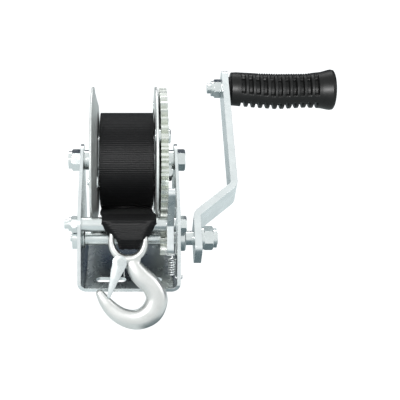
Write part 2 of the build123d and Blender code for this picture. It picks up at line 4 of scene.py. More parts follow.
import bmesh
import bpy
import numpy as np
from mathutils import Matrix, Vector

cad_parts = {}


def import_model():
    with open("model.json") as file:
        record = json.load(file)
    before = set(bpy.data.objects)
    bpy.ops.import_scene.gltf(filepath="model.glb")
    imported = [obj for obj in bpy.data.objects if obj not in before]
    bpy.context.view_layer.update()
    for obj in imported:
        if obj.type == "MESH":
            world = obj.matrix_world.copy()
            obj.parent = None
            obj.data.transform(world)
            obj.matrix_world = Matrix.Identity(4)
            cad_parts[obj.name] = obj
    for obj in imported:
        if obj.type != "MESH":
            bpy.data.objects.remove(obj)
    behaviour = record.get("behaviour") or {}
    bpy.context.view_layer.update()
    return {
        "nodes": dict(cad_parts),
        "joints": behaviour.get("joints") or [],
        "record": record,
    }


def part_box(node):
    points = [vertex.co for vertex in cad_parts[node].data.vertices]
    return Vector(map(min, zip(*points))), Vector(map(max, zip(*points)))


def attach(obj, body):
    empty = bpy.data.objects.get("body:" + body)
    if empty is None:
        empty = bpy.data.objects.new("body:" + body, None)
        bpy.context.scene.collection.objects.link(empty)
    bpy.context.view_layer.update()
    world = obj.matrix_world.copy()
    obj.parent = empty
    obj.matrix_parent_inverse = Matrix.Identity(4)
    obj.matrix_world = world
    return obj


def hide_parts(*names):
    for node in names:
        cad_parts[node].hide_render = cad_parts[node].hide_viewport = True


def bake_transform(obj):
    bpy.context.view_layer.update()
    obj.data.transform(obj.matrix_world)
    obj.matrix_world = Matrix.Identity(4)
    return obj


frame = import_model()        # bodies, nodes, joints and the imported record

MM = 0.001
TAU = 2 * math.pi

# Places that the frame gives: the joints' axes
JOINTS = {joint["name"]: joint for joint in frame["joints"]}


def pivot(name):
    """The place of a joint's axis."""
    return Vector(JOINTS[name]["pos_m"])


AXLE = pivot("drum_spin")
TIE = pivot("strap_swing")
GRIP = pivot("grip_spin")
LATCH = pivot("latch_pivot")
ACROSS = Vector((1, 0, 0))
LEAN_OUT = Vector(JOINTS["latch_pivot"]["axis"]).normalized()
LEAN_UP = LEAN_OUT.cross(ACROSS)
LEAN_ANGLE = 22.0        # degrees, the hook's leaning plane to the vertical


def lean(x, up, out):
    """A point in the hook's leaning plane, in millimetres from the tie tube's middle."""
    return Vector((x * MM, TIE.y, TIE.z)) + LEAN_UP * up * MM + LEAN_OUT * out * MM


# Small helpers for node materials


class Nodes:
    """The node tree of a material or a world, with short calls for the nodes used here."""

    def __init__(self, owner, shader="Principled BSDF"):
        owner.use_nodes = True
        self.owner = owner
        self.tree = owner.node_tree
        self.shader = self.tree.nodes[shader]

    def node(self, kind, **values):
        made = self.tree.nodes.new(kind)
        for key, value in values.items():
            setattr(made, key, value)
        return made

    def link(self, source, target):
        self.tree.links.new(source, target)

    def feed(self, socket, value):
        if isinstance(value, bpy.types.NodeSocket):
            self.link(value, socket)
        else:
            socket.default_value = value

    def set(self, **values):
        for key, value in values.items():
            self.feed(self.shader.inputs[key.replace("_", " ")], value)

    def coordinates(self, kind="Object", scale=(1, 1, 1)):
        source = self.node("ShaderNodeTexCoord").outputs[kind]
        mapping = self.node("ShaderNodeMapping")
        mapping.inputs["Scale"].default_value = scale
        self.link(source, mapping.inputs["Vector"])
        return mapping.outputs["Vector"]

    def noise(self, vector, scale, detail=3.0, roughness=0.5):
        made = self.node("ShaderNodeTexNoise")
        self.link(vector, made.inputs["Vector"])
        made.inputs["Scale"].default_value = scale
        made.inputs["Detail"].default_value = detail
        made.inputs["Roughness"].default_value = roughness
        return made.outputs["Fac"]

    def cells(self, vector, scale):
        made = self.node("ShaderNodeTexVoronoi")
        self.link(vector, made.inputs["Vector"])
        made.inputs["Scale"].default_value = scale
        return made.outputs["Color"]

    def math(self, operation, a, b=0.0):
        made = self.node("ShaderNodeMath", operation=operation)
        self.feed(made.inputs[0], a)
        self.feed(made.inputs[1], b)
        return made.outputs[0]

    def span(self, value, low, high, to_low, to_high):
        made = self.node("ShaderNodeMapRange")
        self.feed(made.inputs["Value"], value)
        for key, number in (("From Min", low), ("From Max", high), ("To Min", to_low), ("To Max", to_high)):
            made.inputs[key].default_value = number
        return made.outputs["Result"]

    def mix(self, factor, a, b):
        made = self.node("ShaderNodeMix", data_type="RGBA")
        self.feed(made.inputs["Factor"], factor)
        self.feed(made.inputs["A"], a)
        self.feed(made.inputs["B"], b)
        return made.outputs["Result"]

    def bump(self, height, distance, strength=1.0, normal=None):
        made = self.node("ShaderNodeBump")
        made.inputs["Strength"].default_value = strength
        made.inputs["Distance"].default_value = distance
        self.link(height, made.inputs["Height"])
        if normal is not None:
            self.link(normal, made.inputs["Normal"])
        return made.outputs["Normal"]

    def rounded_edges(self, radius):
        made = self.node("ShaderNodeBevel", samples=6)
        made.inputs["Radius"].default_value = radius
        return made.outputs["Normal"]

    def edge_mask(self, radius):
        """1 along the sharp edges and 0 on the flats, for worn edges."""
        facing = self.node("ShaderNodeVectorMath", operation="DOT_PRODUCT")
        self.link(self.rounded_edges(radius), facing.inputs[0])
        self.link(self.node("ShaderNodeNewGeometry").outputs["Normal"], facing.inputs[1])
        return self.span(facing.outputs["Value"], 0.98, 0.8, 0.0, 1.0)


def colour(r, g, b):
    return (r, g, b, 1.0)


def zinc(name, base, rough, edge_r=0.5, grain=(1, 1, 1)):
    """Bright zinc plate: faint spangle, cloudy roughness, fine rubbing marks and polished edges."""
    n = Nodes(bpy.data.materials.new(name))
    place = n.coordinates("Object", grain)
    spangle = n.node("ShaderNodeRGBToBW")
    n.link(n.cells(place, 190.0), spangle.inputs["Color"])
    clouds = n.noise(place, 60.0, 5.0, 0.6)
    fine = n.noise(place, 1400.0, 2.0)
    dull = tuple(c * 0.86 for c in base[:3]) + (1.0,)
    tone = n.mix(n.span(clouds, 0.3, 0.75, 0.0, 1.0), base, dull)
    tone = n.mix(n.span(spangle.outputs["Val"], 0.2, 0.8, 0.0, 0.12), tone, colour(1, 1, 1))
    worn = n.edge_mask(edge_r * MM)
    tone = n.mix(n.math("MULTIPLY", worn, 0.35), tone, colour(0.95, 0.96, 0.95))
    matt = n.span(clouds, 0.25, 0.8, rough - 0.05, rough + 0.09)
    matt = n.math("ADD", matt, n.span(spangle.outputs["Val"], 0.2, 0.8, -0.02, 0.03))
    matt = n.math("SUBTRACT", matt, n.math("MULTIPLY", worn, 0.05))
    soft = n.rounded_edges(edge_r * MM)
    normal = n.bump(fine, 0.02 * MM, 0.35, soft)
    normal = n.bump(clouds, 0.12 * MM, 0.4, normal)
    n.set(Base_Color=tone, Metallic=1.0, Roughness=matt, Normal=normal)
    return n.owner


def webbing(name):
    """Black polyester webbing: crosswise ribs along its length, yarns across them, a soft sheen."""
    n = Nodes(bpy.data.materials.new(name))
    where = n.node("ShaderNodeSeparateXYZ")
    n.link(n.node("ShaderNodeTexCoord").outputs["UV"], where.inputs["Vector"])
    along, across = where.outputs["X"], where.outputs["Y"]
    place = n.coordinates("Object")
    rib_pitch, yarn_pitch = 2.0, 0.62
    wobble = n.math("MULTIPLY", n.noise(place, 300.0), 0.5)
    rib_phase = n.math("MULTIPLY", n.math("ADD", along, wobble), TAU / rib_pitch)
    rib = n.span(n.math("SINE", rib_phase), -1, 1, 0, 1)
    shift = n.math("MULTIPLY", n.math("SIGN", n.math("SINE", rib_phase)), yarn_pitch / 4)
    yarn_phase = n.math("MULTIPLY", n.math("ADD", across, shift), TAU / yarn_pitch)
    yarn = n.span(n.math("SINE", yarn_phase), -1, 1, 0, 1)
    fuzz = n.noise(place, 2500.0, 3.0, 0.7)
    height = n.math("ADD", n.math("MULTIPLY", rib, 0.7), n.math("MULTIPLY", yarn, 0.3))
    dusty = n.span(n.noise(place, 90.0, 4.0), 0.35, 0.75, 0.0, 1.0)
    # Painted shade: the rib troughs and the gaps between yarns are coloured darker than the crests.
    deep, crest = colour(0.0015, 0.0015, 0.002), colour(0.009, 0.009, 0.0095)
    tone = n.mix(n.math("MULTIPLY", height, 0.8), deep, crest)
    tone = n.mix(n.math("MULTIPLY", dusty, 0.2), tone, colour(0.012, 0.012, 0.013))
    normal = n.bump(height, 0.22 * MM, 0.9)
    normal = n.bump(fuzz, 0.05 * MM, 0.5, normal)
    n.set(Base_Color=tone, Roughness=n.span(fuzz, 0.2, 0.8, 0.36, 0.5), Normal=normal,
          Sheen_Weight=0.03, Sheen_Roughness=0.4, Specular_IOR_Level=0.11)
    return n.owner


def black_rubber(name, tone, rough):
    """Moulded black rubber: a fine satin grain, soft blooms and shinier worn crests."""
    n = Nodes(bpy.data.materials.new(name))
    place = n.coordinates("Object")
    grain = n.noise(place, 1800.0, 3.0, 0.6)
    bloom = n.span(n.noise(place, 45.0, 4.0, 0.6), 0.35, 0.7, 0.0, 1.0)
    shade = n.mix(n.math("MULTIPLY", bloom, 0.5), tone, tuple(c * 1.7 for c in tone[:3]) + (1.0,))
    worn = n.edge_mask(0.6 * MM)
    matt = n.math("SUBTRACT", n.span(bloom, 0, 1, rough, rough + 0.12), n.math("MULTIPLY", worn, 0.1))
    n.set(Base_Color=shade, Roughness=matt, Normal=n.bump(grain, 0.05 * MM, 0.5), Specular_IOR_Level=0.2)
    return n.owner


def bronze(name):
    """Sintered bronze: fine pores and a cloudy tarnish."""
    n = Nodes(bpy.data.materials.new(name))
    place = n.coordinates("Object")
    pores = n.noise(place, 1500.0, 2.0)
    tarnish = n.noise(place, 120.0, 4.0)
    tone = n.mix(n.span(tarnish, 0.3, 0.7, 0.0, 1.0), colour(0.62, 0.42, 0.2), colour(0.4, 0.27, 0.14))
    n.set(Base_Color=tone, Metallic=1.0, Roughness=n.span(tarnish, 0.3, 0.7, 0.3, 0.45),
          Normal=n.bump(pores, 0.04 * MM, 0.5))
    return n.owner


def nylon(name):
    """Milky nylon with a faint mottle."""
    n = Nodes(bpy.data.materials.new(name))
    place = n.coordinates("Object")
    mottled = n.noise(place, 200.0, 3.0)
    n.set(Base_Color=n.mix(mottled, colour(0.7, 0.73, 0.76), colour(0.82, 0.84, 0.85)), Roughness=0.45,
          Subsurface_Weight=0.15, Normal=n.bump(n.noise(place, 1600.0), 0.03 * MM, 0.4))
    return n.owner


MATERIALS = {
    "zinc_sheet": zinc("zinc_sheet", colour(0.82, 0.855, 0.86), 0.27),
    # Satin zinc for the flanges: rougher, with its colour painted lighter than the sheet's to stand in for
    # light on their inner faces.
    "zinc_flange_painted_lighter": zinc("zinc_flange_painted_lighter", colour(0.90, 0.92, 0.90), 0.52),
    "zinc_fastener": zinc("zinc_fastener", colour(0.80, 0.835, 0.83), 0.2, 0.3),
    "zinc_gear": zinc("zinc_gear", colour(0.82, 0.84, 0.79), 0.27, 0.35),
    "forged": zinc("forged", colour(0.80, 0.795, 0.775), 0.34, 0.4),
    "spring": zinc("spring", colour(0.90, 0.92, 0.92), 0.32, 0.1),
    "webbing": webbing("webbing"),
    "rubber": black_rubber("rubber", colour(0.008, 0.008, 0.008), 0.36),
    "plastic": black_rubber("plastic", colour(0.012, 0.012, 0.013), 0.45),
    "bush": bronze("bush"),
    "nylon": nylon("nylon"),
}

# Mesh helpers


def add_piece(name, mesh, slot):
    """A new object of the model with its slot's material."""
    obj = bpy.data.objects.new(name, mesh)
    bpy.context.scene.collection.objects.link(obj)
    mesh.materials.append(MATERIALS[slot])
    return obj


def face_outwards(mesh):
    build = bmesh.new()
    build.from_mesh(mesh)
    bmesh.ops.recalc_face_normals(build, faces=build.faces)
    build.to_mesh(mesh)
    build.free()


def grid_piece(name, rows, slot, ring=False, loop=False, uv=None, caps=False):
    """A surface through rows of points. ring joins a row's ends, loop the last row to the first."""
    count, wide = len(rows), len(rows[0])
    verts = [point for row in rows for point in row]
    faces, corners = [], []
    for i in range(count if loop else count - 1):
        for j in range(wide if ring else wide - 1):
            k, l = (i + 1) % count, (j + 1) % wide
            faces.append((i * wide + j, i * wide + l, k * wide + l, k * wide + j))
            if uv:
                corners += [uv(i, j), uv(i, j + 1), uv(i + 1, j + 1), uv(i + 1, j)]
    if caps:
        faces += [tuple(reversed(range(wide))), tuple((count - 1) * wide + j for j in range(wide))]
        corners += [uv(i, j) for i in (0, count - 1) for j in range(wide)] if uv else []
    mesh = bpy.data.meshes.new(name)
    mesh.from_pydata([tuple(v) for v in verts], [], faces)
    mesh.polygons.foreach_set("use_smooth", [True] * len(faces))
    if uv:
        layer = mesh.uv_layers.new(name="UVMap")
        layer.data.foreach_set("uv", [number for pair in corners for number in pair])
    face_outwards(mesh)
    return add_piece(name, mesh, slot)


def modifier(obj, kind, **values):
    made = obj.modifiers.new(kind.lower(), kind)
    for key, value in values.items():
        setattr(made, key, value)
    return made


def apply_modifiers(obj):
    """Bake an object's modifiers into its mesh."""
    graph = bpy.context.evaluated_depsgraph_get()
    mesh = bpy.data.meshes.new_from_object(obj.evaluated_get(graph))
    obj.modifiers.clear()
    obj.data = mesh
    return obj


def smooth_path(points, steps):
    """A Catmull-Rom curve through points of any dimension, with steps spans between each pair."""
    p = [np.array(point, float) for point in points]
    p = [2 * p[0] - p[1]] + p + [2 * p[-1] - p[-2]]
    path = []
    for a, b, c, d in zip(p, p[1:], p[2:], p[3:]):
        for step in range(steps):
            t = step / steps
            path.append(0.5 * (2 * b + (c - a) * t + (2 * a - 5 * b + 4 * c - d) * t * t
                               + (3 * b - a - 3 * c + d) * t**3))
    path.append(p[-2])
    return path


def tube_rows(path, radius, sides=12):
    """Rings round a path of points in metres, turned as little as possible from ring to ring."""
    rows = []
    normal = None
    for i, point in enumerate(path):
        ahead = (path[min(i + 1, len(path) - 1)] - path[max(i - 1, 0)]).normalized()
        if normal is None:
            normal = ahead.orthogonal().normalized()
        normal = (normal - ahead * normal.dot(ahead)).normalized()
        side = ahead.cross(normal)
        angles = [TAU * k / sides for k in range(sides)]
        rows.append([point + normal * radius * math.cos(a) + side * radius * math.sin(a) for a in angles])
    return rows


# Webbing

LAYER = 1.35             # thickness of one ply, in millimetres like all sizes below
ROLL_PITCH = 1.5         # from turn to turn in the roll
STRAP_HALF = 25.0
RUN_CLEAR = 3.6          # both plies and the air under them, on the roll and the tube together
TUBE_R = (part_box("tie_tube")[1].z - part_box("tie_tube")[0].z) / 2 / MM
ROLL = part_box("strap_roll")
ROLL_R = (ROLL[1].z - ROLL[0].z) / 2 / MM
CORE_R = (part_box("drum_core")[1].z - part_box("drum_core")[0].z) / 2 / MM
ROLL_MID_X = (ROLL[0].x + ROLL[1].x) / 2 / MM
TIE_FROM_AXLE = (TIE - AXLE) / MM
SPAN = math.hypot(TIE_FROM_AXLE.y, TIE_FROM_AXLE.z)
TO_TIE = math.atan2(TIE_FROM_AXLE.z, TIE_FROM_AXLE.y)
LEAVES = TO_TIE + math.acos((ROLL_R + TUBE_R + RUN_CLEAR) / SPAN)


def around(centre, radius, angle):
    """(y, z) in metres, a radius in millimetres from a centre."""
    return (centre.y + radius * MM * math.cos(angle), centre.z + radius * MM * math.sin(angle))


def strap_section(half, thick):
    """A strap's cross section as (across, through) in millimetres, with rounded selvedges."""
    edge = 0.42 * thick
    t = thick / 2
    wide = half - edge
    flat = [wide * (1 - 2 * k / 10) for k in range(11)]
    top = [(x, t) for x in flat]
    left = [(-half + edge * 0.25, t * 0.72), (-half, 0.0), (-half + edge * 0.25, -t * 0.72)]
    bottom = [(-x, -t) for x in flat]
    right = [(half - edge * 0.25, -t * 0.72), (half, 0.0), (half - edge * 0.25, t * 0.72)]
    return top + left + bottom + right


def strap_roll():
    """The strap wound on the drum as one long spiral, each turn a little to one side of the next."""
    turns = (ROLL_R - CORE_R) / ROLL_PITCH
    steps = 110
    rows, lengths, length = [], [], 0.0
    section = strap_section(STRAP_HALF - 0.35, LAYER)
    for i in range(int(turns * steps) + 1):
        turn = i / steps
        radius = ROLL_R - ROLL_PITCH * (turn + 0.5)
        angle = LEAVES + TAU * turn
        drift = 0.32 * math.sin(2.4 * turn) * math.cos(0.9 * turn + 0.6)
        row = []
        for across, through in section:
            y, z = around(AXLE, radius + through, angle)
            row.append((ROLL[0].x + (STRAP_HALF + drift + across) * MM, y, z))
        rows.append(row)
        lengths.append(length)
        length += radius * TAU / steps
    across = [x for x, _ in section] + [section[0][0]]
    roll = grid_piece("strap_roll_layers", rows, "webbing", ring=True, caps=True,
                      uv=lambda i, j: (lengths[i], across[min(j, len(section))]))
    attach(roll, "drum")
    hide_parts("strap_roll")


BAR_UP = (pivot("hook_swing") - TIE).dot(LEAN_UP) / MM
BAR_OUT = (pivot("hook_swing") - TIE).dot(LEAN_OUT) / MM
AIR = 0.3                # between the webbing and the roll or tube under it
PLY_GAP = 0.1            # between the two plies
INNER_R = TUBE_R + AIR + LAYER / 2
OUTER_R = INNER_R + LAYER + PLY_GAP
FRONT_HALF, BACK_HALF = 24.2, 24.0
TAIL_SPLIT = 3.0         # the loop is what hangs below this height
NO_CREASE = 30.0         # a crease outside the strap's width: no fold
ABOVE_ALL = 50.0         # the height given to stations on the run

# Where each ply leaves the tie tube, in degrees above its front
LEAVE_TUBE = {INNER_R: 2.0, OUTER_R: 74.0}

# The hanging loop as (up, out), from the bar's top down its front, under and up behind it
LOOP_FRONT = [(BAR_UP + 2.9, BAR_OUT + 0.8), (BAR_UP + 2.2, BAR_OUT + 2.3), (BAR_UP, BAR_OUT + 3.3),
              (-3.0, 18.6), (-7.5, 19.3), (-10.8, 19.9), (-11.9, 19.8), (-12.9, 19.0), (-15.5, 17.6),
              (-18.3, 15.6)]
LOOP_BACK = [(-20.2, 13.2), (-20.0, 10.9), (-17.5, 9.6), (-12.0, 9.0), (-6.0, 8.2)]

# The loop's half width on its left and right, and where its sides are creased back, against height
WIDTH_UP = [-21.0, -16.0, -13.0, -11.5, -10.0, -5.0, 0.0, 6.0]
WIDTH_LEFT = [8.0, 10.8, 11.6, 14.4, 17.3, 20.4, 22.8, 23.9]
WIDTH_RIGHT = [8.4, 10.9, 11.5, 13.6, 16.2, 20.0, 22.6, 23.9]
CREASE_UP = [-21.0, -13.0, -11.3, -3.7, 2.5, 6.0]
CREASE_LEFT = [7.0, 9.0, 9.2, 15.5, 21.4, 26.0]
CREASE_RIGHT = [7.0, 10.6, 11.0, 14.8, 19.6, 26.0]
FLAP_SLOPE = 1.5         # how steeply the sides fold back
FOLD_SOFT = 0.4          # how round the crease is
BACK_UP = [-21.0, -12.0, 3.0]
BACK_WIDTH = [8.2, 11.4, 23.6]


def on_tube(radius, angle):
    """(up, out) on a circle round the tie tube, 0 degrees in front of it and 90 on top."""
    a = math.radians(angle)
    return (radius * math.sin(a), radius * math.cos(a))


def world_point(up, out):
    """(y, z) in metres of a point in the leaning plane."""
    p = lean(0, up, out)
    return (p.y, p.z)


def run_line(roll_r, tube_r, reverse):
    """The straight run from the roll's underside to the tube's top, wrapped a little round both."""
    normal = TO_TIE + math.acos((roll_r + tube_r) / SPAN)
    start = around(AXLE, roll_r, normal)
    end = around(TIE, tube_r, normal + math.pi)
    points = [around(AXLE, roll_r, normal + math.radians(a)) for a in (24, 18, 12, 6)]
    points += [tuple(start[i] + (end[i] - start[i]) * k / 12 for i in (0, 1)) for k in range(12)]
    top = 180.0 - LEAN_ANGLE - math.degrees(normal + math.pi) % 360
    points += [world_point(*on_tube(tube_r, top + (LEAVE_TUBE[tube_r] - top) * k / 7)) for k in range(8)]
    return points[::-1] if reverse else points


def strap_stations():
    """The strap from the roll to its loop and back: (y, z, left, right, crease left, crease right, up)."""
    stations = []
    in_roll = ROLL_R + AIR + LAYER / 2
    out_roll = in_roll + LAYER + PLY_GAP
    for y, z in run_line(in_roll, OUTER_R, False):
        stations.append((y, z, FRONT_HALF, FRONT_HALF, NO_CREASE, NO_CREASE, ABOVE_ALL))
    for up, out in LOOP_FRONT:
        y, z = world_point(up, out)
        sizes = [np.interp(up, WIDTH_UP, WIDTH_LEFT), np.interp(up, WIDTH_UP, WIDTH_RIGHT),
                 np.interp(up, CREASE_UP, CREASE_LEFT), np.interp(up, CREASE_UP, CREASE_RIGHT)]
        stations.append((y, z, *sizes, up))
    for up, out in LOOP_BACK:
        y, z = world_point(up, out)
        half = np.interp(up, BACK_UP, BACK_WIDTH)
        stations.append((y, z, half, half, NO_CREASE, NO_CREASE, up))
    for y, z in run_line(out_roll, INNER_R, True):
        stations.append((y, z, BACK_HALF, BACK_HALF, NO_CREASE, NO_CREASE, ABOVE_ALL))
    return smooth_path(stations, 3)


def strap_rows(stations):
    """A ring of points for each station, with the sides folded back beyond the creases."""
    rows, lengths, length = [], [], 0.0
    for i, (y, z, left, right, crease_l, crease_r, up) in enumerate(stations):
        before, after = stations[max(i - 1, 0)], stations[min(i + 1, len(stations) - 1)]
        ahead = Vector((0, after[0] - before[0], after[1] - before[1])).normalized()
        outward = ahead.cross(ACROSS)
        middle = ROLL_MID_X * min(1.0, max(0.0, (y - TIE.y) / (20 * MM)))
        gather = max(0.0, 1 - (left + right) / (2 * FRONT_HALF))
        row = []
        for across, through in strap_section(FRONT_HALF, LAYER):
            share = across / FRONT_HALF
            x = share * (left if share < 0 else right)
            crease = crease_l if share < 0 else crease_r
            fold = max(0.0, abs(x) - crease)
            back = FLAP_SLOPE * (math.hypot(fold, FOLD_SOFT) - FOLD_SOFT)
            pleat = gather * (0.5 * math.sin(share * 8.0 + 0.7) + 0.25 * math.sin(share * 19.0))
            depth = through - back + (pleat if up < -12.0 else 0.3 * pleat)
            row.append(Vector(((middle + x) * MM, y, z)) + outward * depth * MM)
        rows.append(row)
        lengths.append(length)
        length += math.hypot(after[0] - before[0], after[1] - before[1]) / 2 / MM
    return rows, lengths


def strap_piece(name, rows, lengths):
    """A stretch of strap with its length and width as texture coordinates."""
    across = [x for x, _ in strap_section(FRONT_HALF, LAYER)]
    across.append(across[0])
    last = len(lengths) - 1
    return grid_piece(name, rows, "webbing", ring=True, caps=True,
                      uv=lambda i, j: (lengths[min(i, last)], across[min(j, len(across) - 1)]))


def strap_sheet():
    """The doubled run over the tie tube, and the loop below it round the hook's eye."""
    stations = strap_stations()
    rows, lengths = strap_rows(stations)
    below = [i for i, station in enumerate(stations) if station[6] < TAIL_SPLIT]
    first, last = below[0], below[-1]
    plies = (("strap_over_tube", slice(0, first + 1)), ("strap_under_tube", slice(last, len(rows))))
    for name, piece in plies:
        sheet = strap_piece(name, rows[piece], lengths[piece])
        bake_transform(sheet)
        if name == "strap_over_tube":
            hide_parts("strap_run")
    loop = strap_piece("strap_loop", rows[first:last + 1], lengths[first:last + 1])
    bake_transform(loop)
    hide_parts("strap_tail")


# Hook

HOOK_OUT = BAR_OUT

# The hook's bend as (across, up, half width, half thickness), from the neck round to the point
HOOK_SPINE = [(2.6, -27.0, 5.2, 3.8), (3.2, -31.0, 6.0, 4.6), (4.9, -36.0, 7.2, 5.6),
              (10.1, -43.4, 8.6, 6.4), (18.3, -50.9, 8.8, 6.6), (22.8, -58.0, 9.1, 6.7),
              (24.0, -65.5, 9.6, 6.7), (19.8, -75.0, 9.9, 6.7), (11.5, -80.6, 9.1, 6.5),
              (3.0, -81.6, 8.4, 6.2), (-6.0, -79.0, 7.5, 5.7), (-14.0, -73.5, 6.7, 5.0),
              (-20.7, -66.0, 5.4, 4.2), (-25.2, -59.2, 3.6, 3.2)]


def swept_ring(centre, across, deep, half_w, half_t, power, sides=24):
    """A superellipse section: half_w along across, half_t along deep."""
    ring = []
    for k in range(sides):
        c, s = math.cos(TAU * k / sides), math.sin(TAU * k / sides)
        a = math.copysign(abs(c)**(2 / power), c) * half_w
        b = math.copysign(abs(s)**(2 / power), s) * half_t
        ring.append(centre + (across * a + deep * b) * MM)
    return ring


def hook_body_rows():
    """Sections along the hook's bend, closed by a round tip."""
    path = smooth_path(HOOK_SPINE, 6)
    rows = []
    for i, (x, up, half_w, half_t) in enumerate(path):
        before, after = path[max(i - 1, 0)], path[min(i + 1, len(path) - 1)]
        ahead = Vector((after[0] - before[0], after[1] - before[1])).normalized()
        across = ACROSS * -ahead.y + LEAN_UP * ahead.x
        rows.append(swept_ring(lean(x, up, HOOK_OUT), across, LEAN_OUT, half_w, half_t, 2.5))
    x, up, half_w, half_t = path[-1]
    for k in range(1, 6):
        a = math.pi / 2 * k / 6
        tip = lean(x + ahead.x * half_w * math.sin(a), up + ahead.y * half_w * math.sin(a), HOOK_OUT)
        rows.append(swept_ring(tip, across, LEAN_OUT, half_w * math.cos(a), half_t * math.cos(a), 2.5))
    return rows


EYE_R = 14.65
EYE_UP = BAR_UP - EYE_R
EYE_X = -0.8


def hook_eye_rows():
    """The eye: a ring that is slim over the top and thickens into the neck."""
    rows = []
    for k in range(96):
        a = TAU * k / 96
        low = max(0.0, -math.sin(a))**1.4
        radial = ACROSS * math.cos(a) + LEAN_UP * math.sin(a)
        high = max(0.0, math.sin(a))**0.5
        half_w, half_t = 2.9 + 1.1 * low - 0.7 * high, 3.2 + 1.4 * low - 1.1 * high
        radius = EYE_R + 1.8 * low
        centre = lean(EYE_X + radius * math.cos(a), EYE_UP + radius * math.sin(a), HOOK_OUT)
        rows.append(swept_ring(centre, radial, LEAN_OUT, half_w, half_t, 2.2, 16))
    return rows


def capsule_rows(start, end, half_w, half_t):
    """A flat bar with round ends between two (x, up) points."""
    ahead = (Vector(end) - Vector(start)).normalized()
    across = ACROSS * -ahead.y + LEAN_UP * ahead.x
    rows = []
    for k in range(-6, 7):
        a = math.pi / 2 * k / 6.5
        base = Vector(start) if k < 0 else Vector(end)
        x, up = base + ahead * half_w * math.sin(a)
        centre = lean(x, up, HOOK_OUT)
        rows.append(swept_ring(centre, across, LEAN_OUT, half_w * math.cos(a), half_t, 3.0, 16))
    return rows


def hook():
    """The forged hook: body, eye, neck and latch lug grown together."""
    name = "forged_hook"
    neck = capsule_rows((-4.0, -29.6), (6.0, -29.2), 4.4, 4.0)
    lug = capsule_rows((-7.2, -30.9), (-1.0, -32.0), 5.4, 2.4)
    parts = [grid_piece("hook_body_rough", hook_body_rows(), "forged", ring=True, caps=True),
             grid_piece("hook_eye_rough", hook_eye_rows(), "forged", ring=True, loop=True),
             grid_piece("hook_neck_rough", neck, "forged", ring=True, caps=True),
             grid_piece("hook_lug_rough", lug, "forged", ring=True, caps=True)]
    build = bmesh.new()
    for part in parts:
        build.from_mesh(part.data)
        bpy.data.objects.remove(part)
    mesh = bpy.data.meshes.new(name)
    build.to_mesh(mesh)
    build.free()
    forged = add_piece(name, mesh, "forged")
    modifier(forged, "REMESH", mode="VOXEL", voxel_size=0.55 * MM, use_smooth_shade=True)
    modifier(forged, "SMOOTH", factor=0.5, iterations=9)
    apply_modifiers(forged)
    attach(forged, "hook")
    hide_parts("hook")


# The latch's outline as (across, up), from its top right round its head and down to its tip
LATCH_OUTLINE = [(-1.9, -33.4), (-2.1, -29.6), (-4.2, -26.6), (-7.6, -25.3), (-11.2, -26.2),
                 (-13.6, -28.9), (-14.2, -34.4), (-15.2, -38.6), (-15.9, -45.6), (-17.2, -53.3),
                 (-18.2, -60.6), (-17.5, -62.0), (-16.4, -61.8), (-10.7, -50.5), (-6.6, -42.9),
                 (-4.0, -38.2)]
LATCH_WEB = (5, 12)      # the web spans the outline's edges from 5 up to 12
LATCH_HALF = 4.9
LATCH_SHEET = 1.1


def latch():
    """The pressed latch: two side plates and the web that joins them along the outer edge."""
    count = len(LATCH_OUTLINE)
    verts = [lean(x, up, HOOK_OUT + side * LATCH_HALF) for side in (1, -1) for x, up in LATCH_OUTLINE]
    faces = [tuple(range(count)), tuple(range(2 * count - 1, count - 1, -1))]
    faces += [(i, i + count, i + 1 + count, i + 1) for i in range(*LATCH_WEB)]
    mesh = bpy.data.meshes.new("pressed_latch")
    mesh.from_pydata([tuple(v) for v in verts], [], faces)
    face_outwards(mesh)
    pressed = add_piece("pressed_latch", mesh, "zinc_sheet")
    modifier(pressed, "SOLIDIFY", thickness=LATCH_SHEET * MM, offset=0.0, use_even_offset=True)
    modifier(pressed, "BEVEL", width=0.35 * MM, segments=3, limit_method="ANGLE",
             angle_limit=math.radians(40))
    apply_modifiers(pressed)
    pressed.data.shade_smooth()
    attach(pressed, "latch")
    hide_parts("latch")


LATCH_X = LATCH.x / MM
LATCH_UP = (LATCH - TIE).dot(LEAN_UP) / MM


def latch_spring():
    """A torsion spring on the rivet: one leg lies along the hook, the other presses the latch's web."""
    coil_r, wire = 2.7, 0.4
    near, far = 2.9, 3.8
    path = [(LATCH_X + coil_r + 0.5, LATCH_UP - 14.2, near),
            (LATCH_X + coil_r + 0.2, LATCH_UP - 9.0, near),
            (LATCH_X + coil_r, LATCH_UP - 3.0, near)]
    for k in range(28):
        a = TAU * k / 18
        out = near + (far - near) * k / 27
        path.append((LATCH_X + coil_r * math.cos(a), LATCH_UP + coil_r * math.sin(a), out))
    path += [(-10.2, LATCH_UP - 2.6, far), (-11.6, LATCH_UP - 6.4, far), (-13.5, LATCH_UP - 10.6, far)]
    fine = [lean(x, up, HOOK_OUT + out) for x, up, out in smooth_path(path, 2)]
    rows = tube_rows(fine, wire * MM, 10)
    spring = grid_piece("latch_torsion_spring", rows, "spring", ring=True, caps=True)
    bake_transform(spring)
    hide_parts("latch_spring")


# Grip

GRIP_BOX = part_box("grip_rubber")
SLOT_PITCH = 7.4
SLOT_WIDE = 3.9
SLOT_COUNT = 11
SLOT_START = 12.2
SLOT_SIDES = ((18, 37, 5.0), (-90, 40, 6.0), (162, 37, 5.0))        # (middle, half span in degrees, depth)
BEND_AT = 40.0           # the side rows drift round the grip up to here
BORE_R = 10.0
CAP = 4.5                # the closed end's thickness


def grip_profile(x):
    """(radius, drop of the section's centre) at x millimetres from the inner end."""
    stations = [0, 6, 24, 48, 76, 92, 99, 102, 104.6, 106]
    radii = [16.9, 17.3, 17.7, 18.2, 17.5, 18.6, 20.3, 20.8, 20.2, 17.6]
    drops = [0.3, 0.5, 1.9, 3.1, 2.2, 1.6, 1.3, 1.2, 1.2, 1.2]
    return np.interp(x, stations, radii), np.interp(x, stations, drops)


def soft_step(value, low, high):
    t = min(1.0, max(0.0, (value - low) / (high - low)))
    return t * t * (3 - 2 * t)


